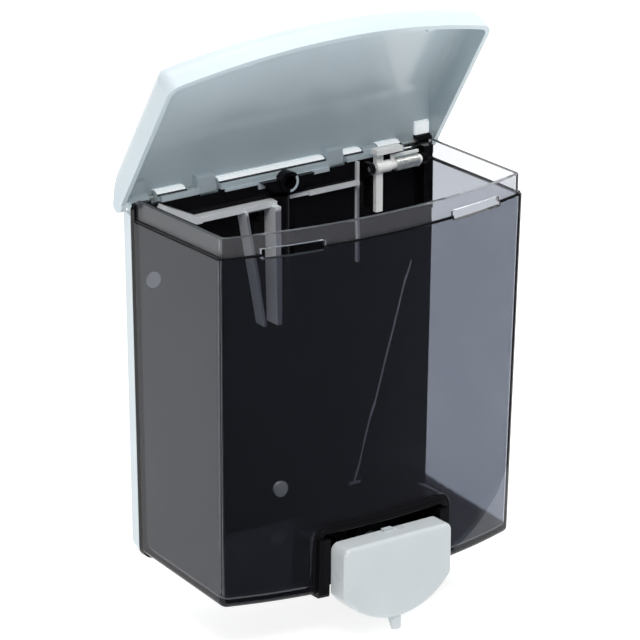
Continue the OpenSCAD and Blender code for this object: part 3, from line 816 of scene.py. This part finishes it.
def make_button():
    face = BUTTON_LOW.y
    back = face + BUTTON_D
    rows = []
    for step in range(6, -1, -1):
        a = math.radians(90 * step / 6)
        y = face + BUTTON_ROUND * (1 - math.sin(a))
        rows.append([(x, y, z) for x, z in button_outline(BUTTON_ROUND * (1 - math.cos(a)))])
    rows.append([(x, back, z) for x, z in button_outline(0)])
    button = loft("button_cap", rows)
    combine(button, [slab_y("hollow", button_outline(2), face + 2, back + 1)], "DIFFERENCE")
    parts = [rod("guide", "y", (x, VALVE_Z), 2.24, face + 1.5, BUTTON_HIGH.y) for x in (-18, 18)]
    parts.append(rod("boss", "y", (0, VALVE_Z), 6, face + 1.5, face + 4.4))
    parts.append(block("tab", (-2.2, back - 2.4, BUTTON_TOP - 0.4), (2.2, back - 0.4, BUTTON_TOP + 0.9)))
    combine(button, parts, "UNION")
    holes = [rod("stem_hole", "y", (0, VALVE_Z), 3, face + 2.6, face + 9)]
    holes.append(rod("tube_hole", "z", (0, NOZZLE_PLACE), 2.65, -126, VALVE_Z))
    holes.append(spout("spout_hole", 0.05, 0.0))
    combine(button, holes, "DIFFERENCE")
    soften(button, 0.25, 50)
    return place(button, "button", "grey_plastic", BUTTON_GREY, "push_button")


def lean_out(piece):
    """Moves a piece made about the origin to the spout's root, leaning with it."""
    root = Matrix.Translation((0, NOZZLE_PLACE * MM, SPOUT_TOP * MM))
    piece.data.transform(root @ Matrix.Rotation(math.radians(-SPOUT_LEAN), 4, "X"))
    return piece


def spout(name, grow, rounding):
    """The leaning, tapering outlet under the button."""
    profile = [(SPOUT_ROOT_R + grow, 0.0)]
    if rounding:
        profile += arc(SPOUT_TIP_R - rounding, rounding - SPOUT_LENGTH, rounding, 0, -90, 5)
    else:
        profile.append((SPOUT_TIP_R + grow, -SPOUT_LENGTH))
    turns = [math.tau * i / 40 for i in range(40)]
    return lean_out(loft(name, [[(r * math.cos(a), r * math.sin(a), z) for a in turns] for r, z in profile]))


def make_nozzle():
    nozzle = spout("nozzle_spout", 0, 0.6)
    combine(nozzle, [rod("tube", "z", (0, NOZZLE_PLACE), 2.6, SPOUT_TOP - 0.5, VALVE_Z)], "UNION")
    bore = lean_out(rod("bore", "z", (0, 0), 1.2, -14, 0.5))
    stem = rod("stem", "y", (0, VALVE_Z), 3, NOZZLE_PLACE - 20, NOZZLE_PLACE + 20)
    upper = rod("upper_bore", "z", (0, NOZZLE_PLACE), 1.2, SPOUT_TOP - 0.6, VALVE_Z)
    combine(nozzle, [bore, stem, upper], "DIFFERENCE")
    soften(nozzle, 0.15, 50)
    return place(nozzle, "button", "grey_plastic", BUTTON_GREY, "nozzle")


# ---------------------------------------------------------------- pieces refined from their CAD solids

def refine(node, name, body, slot, width, limit=35, material=None):
    """A copy of a CAD solid with its edges rounded, which stands for it."""
    piece = new_object(name, NODES[node].data.copy())
    soften(piece, width, limit)
    return place(piece, body, slot, material or BY_SLOT[slot], node)


def make_recess_highlight():
    """Painted highlight along the edge of the shallow recess in the black panel, which leans across its lower
    right part.
    """
    x0, z0 = 59.8, -15.8
    x1, z1 = 32.7, -104.0
    half, y = 0.35, BACK_Y - 0.06
    line = [(x0 - half, z0), (x0 + half, z0), (x1 + half, z1), (x1 - half, z1)]
    foot = [(x1 - 2.4, z1 - 1.2), (x1 + 2.8, z1 - 1.2), (x1 + 2.8, z1), (x1 - 2.4, z1)]
    for name, outline in (("recess_highlight_strip", line), ("recess_foot_highlight", foot)):
        # Thin pale strips painted on the panel as the recess edge's highlight.
        place(slab_y(name, outline, y, y + 0.3), "base", "black_plastic", RECESS_HIGHLIGHT_PAINT)


def make_wall_plate():
    """The plate, with notches in its top lip for the lid's tabs."""
    piece = new_object("wall_plate", NODES["back_plate"].data.copy())
    low, high = BACK_Y - 0.6, HINGE_Y - KNUCKLE_R - 0.25
    notches = [block("notch", (x0, low, HINGE_Z - 1.4), (x1, high, HINGE_Z + 3)) for x0, x1 in TAB_ROOMS]
    combine(piece, notches, "DIFFERENCE")
    soften(piece, 0.3)
    return place(piece, "base", "grey_plastic", GREY, "back_plate")


def make_panel():
    """The black panel, cut away at its top edge where the lid's tabs swing down."""
    piece = new_object("black_panel", NODES["tank_back"].data.copy())
    for x0, x1 in TAB_ROOMS:
        deep = block("deep_room", (x0, BACK_Y + 0.35, HINGE_Z - 3.7), (x1, HINGE_Y + 1, HINGE_Z + 3))
        edge = block("edge_room", (x0, BACK_Y - 1, HINGE_Z - 1.1), (x1, HINGE_Y + 0.9, HINGE_Z + 3.1))
        combine(piece, [deep, edge], "DIFFERENCE")
    soften(piece, 0.3)
    return place(piece, "base", "black_plastic", BLACK, "tank_back")


def make_hinge_shadow_strips():
    """Black strips along the front of each fixed knuckle, above the lip: painted shadow in the gap there."""
    spans = [(-58.8, -45.5), (-30.2, 20.0), (29.2, 38.0), (46.1, 56.8)]
    front = HINGE_Y - KNUCKLE_R
    for i, (x0, x1) in enumerate(spans):
        # Painted shadow: a black strip where the gap's shade falls.
        painted_gap_shadow = block("hinge_painted_shadow_%d" % i, (x0, front - 0.5, HINGE_Z + 1.4), (x1, front + 1.2, HINGE_Z + 1.9))
        place(painted_gap_shadow, "base", "black_plastic", BLACK)


def make_knuckle_highlights():
    """Upper faces of the fixed knuckles, made bright with a glowing painted highlight."""
    for i, (x0, x1) in enumerate([(-58.6, -45.6), (-30.0, 19.9), (29.3, 37.9), (46.2, 56.7)]):
        # Thin cap on each knuckle that carries the painted highlight.
        top = rod("knuckle_highlight_%d" % i, "x", (HINGE_Y, HINGE_Z), KNUCKLE_R + 0.06, x0, x1, 64)
        combine(top, [block("below", (x0 - 1, -20, -50), (x1 + 1, 20, HINGE_Z + 1.85))], "DIFFERENCE")
        soften(top, 0)
        place(top, "base", "grey_plastic", PAINTED_HIGHLIGHT_GLOW)


def make_lip_band():
    """Light-grey band on the panel under the lip, deeper beside the boss."""
    top, front = HINGE_Z - 0.3, BACK_Y - 0.55
    spans = [(-29.6, -14, 1.3), (-14, -4.8, 3.2), (3.2, 19.8, 1.9)]
    for i, (x0, x1, depth) in enumerate(spans):
        band = block("lip_band_%d" % i, (x0, front, top - depth), (x1, BACK_Y + 0.2, top))
        soften(band, 0.2)
        place(band, "base", "grey_plastic", GREY)


def make_boss_highlight_and_pad():
    """Painted highlight on the edge around the boss's hole, and the small round pad in the frame's window."""
    x, z, front = BOSS
    outer = arc(x, z, 4.15, 270, 395, 32)
    # A grey arc on the black boss, painted as its highlight.
    ring = slab_y("boss_highlight", outer + arc(x, z, 2.9, 395, 270, 32), front - 0.05, front + 0.5)
    soften(ring, 0.2)
    place(ring, "base", "grey_plastic", GREY)
    pad = rod("window_pad", "y", PAD, 1.55, BACK_Y - 2.0, BACK_Y + 0.2)
    soften(pad, 0.5)
    place(pad, "base", "grey_plastic", GREY)


def coil(name, x0, x1, turns, radius, wire, y, z):
    """Round wire wound along X."""
    steps, sides = 24 * turns, 8
    rows = []
    for i in range(steps + 1):
        a = math.tau * turns * i / steps
        along = x0 + (x1 - x0) * i / steps
        rows.append([(along + wire * math.sin(b), y + (radius + wire * math.cos(b)) * math.cos(a),
                      z + (radius + wire * math.cos(b)) * math.sin(a))
                     for b in [math.tau * j / sides for j in range(sides)]])
    return loft(name, rows)


def make_latch_spring():
    spring = coil("latch_coil", 48.4, 59.6, 18, 2.55, 0.3, LATCH_Y, LATCH_Z)
    leg = rod("leg", "y", (59.6, LATCH_Z - 2.5), 0.4, LATCH_Y + 0.4, BACK_Y, 12)
    combine(spring, [leg], "UNION")
    spring.data.shade_smooth()
    return place(spring, "base", "steel", STEEL, "latch_spring")


def dress_cad_nodes():
    """Gives every CAD solid its slot's material; the finer pieces then hide some of them."""
    slots = {row["node"]: row["material_slot"] for row in frame["record"]["subparts"]}
    for name, node in NODES.items():
        node.data.materials.clear()
        node.data.materials.append(BY_SLOT[slots[name]])


set_stage()
dress_cad_nodes()
make_lid()
make_lid_end()
make_tank_shell()
make_rim()
make_shoulder_line()
make_pocket()
make_button()
make_nozzle()
make_latch_spring()
make_wall_plate()
make_hinge_shadow_strips()
make_knuckle_highlights()
make_lip_band()
make_boss_highlight_and_pad()
make_panel()
# The frame's material paints highlights and shade by which way each face turns.
refine("hanger_frame", "light_frame", "base", "grey_plastic", 0.6, 35, FRAME_PAINTED_LIGHT)
make_recess_highlight()
refine("latch_lever", "latch_finger", "latch", "white_plastic", 0.3)
refine("valve_housing", "valve_box", "base", "black_plastic", 0.3)
for side in ("left", "right", "lower"):
    slot = "black_plastic" if side == "right" else "white_plastic"
    refine("screw_plug_" + side, "plug_" + side, "base", slot, 0.4)
